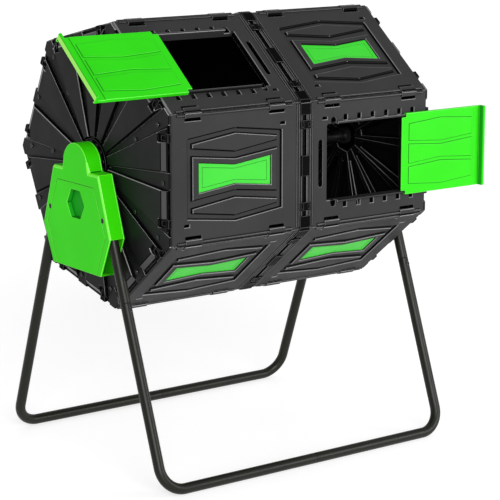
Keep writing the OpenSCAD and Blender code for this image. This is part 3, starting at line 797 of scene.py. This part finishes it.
# Radii of the rounded edges.
PANEL_R = 0.0013
PANEL_END_R = 0.0045
MOULDED_R = 0.0014
COVER_R = 0.0012
COVER_RIM_R = 0.0060
COVER_DETAIL_R = 0.0007
THIN_R = 0.0008
CLIP_R = 0.0006
SMALL_R = 0.0005
BROAD_R = 0.003

# How far a region or an edge may be from what it is told by.
NEAR = 0.001
SLACK = 0.0005
STEEP = math.radians(20)
DOOR_STEEP = math.radians(30)
FACING_UP = 0.12
FACING_OUT = 0.5


def cover_width(edge):
    """The outer cover's face has a broad rounded rim; everything else on it is crisper."""
    a, b = (v.co for v in edge.verts)
    if min(abs(a.x), abs(b.x)) < COVER_FACE_X - 0.0001:
        return COVER_R
    on_rim = []
    for p in (a, b):
        y, z = abs(p.y), p.z - AXLE_Z
        side_y = SHOULDER_Y + (SHOULDER_Z - z) * (WAIST_Y - SHOULDER_Y) / (SHOULDER_Z - WAIST_Z)
        foot_y = BASE_Y + (z - BASE_Z) * (WAIST_Y - BASE_Y) / (WAIST_Z - BASE_Z)
        on_dome = abs(math.hypot(y, z) - DOME_R) < NEAR
        on_shoulder = z > SHOULDER_Z - 0.0025 and y > 0.04
        on_side = WAIST_Z - SLACK < z < SHOULDER_Z + SLACK and abs(y - side_y) < NEAR
        on_foot = z < WAIST_Z + SLACK and abs(y - foot_y) < NEAR
        on_base = z < BASE_Z + SLACK
        on_rim.append(on_dome or on_shoulder or on_side or on_foot or on_base)
    return COVER_RIM_R if all(on_rim) else COVER_DETAIL_R


def cover_shade(normal, centre, area):
    """The hexagonal recess gets painted shade, its floor and its walls."""
    around_hex = math.hypot(centre.y, centre.z - AXLE_Z - HEX_Z) < HEX_R + 0.002
    in_recess = around_hex and abs(centre.x) > COVER_FACE_X - HEX_D - SLACK
    return SPECIAL if in_recess and area < 0.004 else FACES


def paint_edge_light(away, place, radius):
    """Outer edges that face up or to the left get a painted highlight, broad ones are plain, others painted
    shade.
    """
    if radius > BROAD_R:
        return FACES
    return PAINTED_HIGHLIGHT if away.z > FACING_UP or away.x < -FACING_OUT else PAINTED_SHADE


def paint_end_edge_light(away, place, radius):
    """On a drum end, edges that face up get a painted highlight, and on the low strips rear ones do too;
    the others get painted shade.
    """
    low = abs(place.x) < HALF_L + 0.006
    return PAINTED_HIGHLIGHT if away.z > FACING_UP or (low and away.y > FACING_OUT) else PAINTED_SHADE


def side_height(place):
    """How far a place stands above the drum's nearest flat side."""
    around = math.atan2(place.z - AXLE_Z, -place.y)
    nearest = round(around / TURN) * TURN
    return math.hypot(place.y, place.z - AXLE_Z) * math.cos(around - nearest) - APOTHEM


def side_angle(normal):
    """How far a normal turns from the nearest of the drum's side normals."""
    around = math.atan2(normal.z, -normal.y)
    nearest = round(around / TURN) * TURN
    return Vector((0, -math.cos(nearest), math.sin(nearest))).angle(normal)


def panel_width(edge):
    """A panel's edge at the drum's end is broadly rounded."""
    a, b = (v.co for v in edge.verts)
    across = abs((b - a).normalized().x) < 0.1 and (b - a).length > 0.03
    at_end = min(abs(a.x), abs(b.x)) > HALF_L - SLACK
    outside = min(math.hypot(p.y, p.z - AXLE_Z) for p in (a, b)) > APOTHEM - SLACK
    return PANEL_END_R if across and at_end and outside else None


def panel_shade(normal, centre, area):
    """A panel's beads are glossy and painted near black as shade. Its grooves, the beads' steeper facets
    and the walls of its pocket, fields and tabs get painted shade.
    """
    turned = side_angle(normal)
    height = side_height(centre)
    by_corner = math.hypot(centre.y, centre.z - AXLE_Z) > APOTHEM + 0.022
    if by_corner and abs(centre.x) > 0.03 and turned > 0.01 and area < BROAD and height > -0.002:
        on_bead = height > 0.0002 and turned < math.radians(35)
        return SPECIAL if on_bead else PAINTED_SHADE
    steep = abs(turned - math.pi / 2) < STEEP
    return PAINTED_SHADE if steep and area > 0.00002 else FACES


def door_shade(normal, centre, area):
    """The groove beside the pull lip and the small walls get painted shade, and the lip's outer face a
    painted highlight.
    """
    sides = (Vector((0, -1, 0)), Vector((0, -math.cos(TURN), math.sin(TURN))))
    turned = min(normal.angle(side) for side in sides)
    if abs(normal.x) > 0.9:
        return LIP_PAINTED_LIGHT if area > 0.0018 and abs(centre.x) > DOOR_END_X - SLACK else SPECIAL
    if turned < 0.01 and area < 0.0004 and abs(centre.x) > DOOR_END_X - 0.009:
        return SPECIAL
    steep = abs(turned - math.pi / 2) < DOOR_STEEP
    return SPECIAL if steep and area < 0.0005 else FACES


def end_shade(normal, centre, area):
    """The walls beside a drum end's joints get painted shade, and the band sloping to its rim a painted
    sheen.
    """
    lean = abs(normal.x)
    if 0.3 < lean < 0.95 and area > 0.0002:
        return SPECIAL
    inside = math.hypot(centre.y, centre.z - AXLE_Z) < APOTHEM * 0.97
    return PAINTED_SHADE if lean < 0.05 and area > 0.0004 and inside else FACES


for node in frame["nodes"]:
    if node.endswith("_panel") or node.endswith("_door_frame"):
        dress(node, node + "_moulding", PANEL_R, PANEL, panel_width, panel_shade, paint_edge_light)
    elif "_window_inlays" in node:
        dress(node, node + "_moulding", THIN_R, INLAY)
    elif "end_wedges" in node:
        dress(node, node + "_moulding", MOULDED_R, END_PANEL, None, end_shade, paint_end_edge_light)
    elif node == "divider":
        # The divider is drawn in black plastic as painted shade for the dark gap between the chambers.
        dress(node, node + "_painted_shade_plate", THIN_R, BLACK)
    elif node in ("left_door", "right_door"):
        dress(node, node + "_moulding", MOULDED_R, DOOR, shade_at=door_shade)
    elif node.endswith("outer_cover"):
        dress(node, node + "_moulding", COVER_R, COVER, width_at=cover_width, shade_at=cover_shade)
    elif node.endswith("inner_cover"):
        dress(node, node + "_moulding", THIN_R)
    elif node in ("seam_hooks", "seam_clips", "corner_connectors", "left_rim_hooks", "right_rim_hooks"):
        dress(node, node + "_moulding", CLIP_R)
    elif "screws" in node or "hub_flange" in node or "bush" in node or node == "axle":
        dress(node, node + "_part", SMALL_R)

# ---------- stage, light and camera ----------


FLOOR_W = 60
SOFTBOX_AT = Vector((2.0, -2.6, 1.0))
SOFTBOX_TO = Vector((0.1, 0, 0.65))
SUN_ALONG = Vector((0.35, 0.86, -0.37))
CAMERA_AT = (-2.3606, -3.3081, 1.2700)
CAMERA_DOWN = 11.987
CAMERA_TURN = -36.214


def plain_floor():
    """A flat, slightly glowing floor, which isn't part of the object."""
    mat = grained("floor_paint", (0.5, 0.5, 0.5), 0.6, grain=300, bump=0.02, variation=0.01)
    shader = mat.node_tree.nodes["Principled BSDF"]
    shader.inputs["Emission Color"].default_value = (1, 1, 1, 1)
    shader.inputs["Emission Strength"].default_value = 0.60
    mesh = bpy.data.meshes.new("floor")
    h = FLOOR_W / 2
    mesh.from_pydata([(-h, -h, 0), (h, -h, 0), (h, h, 0), (-h, h, 0)], [], [(0, 1, 2, 3)])
    mesh.materials.append(mat)
    piece = bpy.data.objects.new("floor", mesh)
    bpy.context.scene.collection.objects.link(piece)


def studio_world():
    """Even white light from all round."""
    world = bpy.data.worlds.new("studio")
    bpy.context.scene.world = world
    world.use_nodes = True
    background = world.node_tree.nodes["Background"]
    background.inputs["Color"].default_value = (1, 1, 1, 1)
    background.inputs["Strength"].default_value = 0.55


def softbox():
    """A square area light from the front right."""
    light = bpy.data.lights.new("front_softbox", "AREA")
    light.shape = "RECTANGLE"
    light.size = light.size_y = 1.4
    light.energy = 40
    lamp = bpy.data.objects.new("front_softbox", light)
    lamp.location = SOFTBOX_AT
    lamp.rotation_euler = (SOFTBOX_TO - SOFTBOX_AT).to_track_quat("-Z", "Y").to_euler()
    bpy.context.scene.collection.objects.link(lamp)


def key_light():
    """A broad sun from the front left."""
    light = bpy.data.lights.new("key", "SUN")
    light.energy = 2.5
    light.angle = math.radians(35)
    lamp = bpy.data.objects.new("key", light)
    lamp.rotation_euler = SUN_ALONG.to_track_quat("-Z", "Y").to_euler()
    bpy.context.scene.collection.objects.link(lamp)


def main_camera():
    """The camera, to the left of the front and a little above the drum."""
    lens = bpy.data.cameras.new("camera")
    lens.sensor_width = 36
    lens.lens = 138.21
    camera = bpy.data.objects.new("camera", lens)
    camera.location = CAMERA_AT
    camera.rotation_euler = (math.radians(90 - CAMERA_DOWN), 0, math.radians(CAMERA_TURN))
    bpy.context.scene.collection.objects.link(camera)
    bpy.context.scene.camera = camera


plain_floor()
studio_world()
softbox()
key_light()
main_camera()
bpy.context.scene.view_settings.view_transform = "Standard"
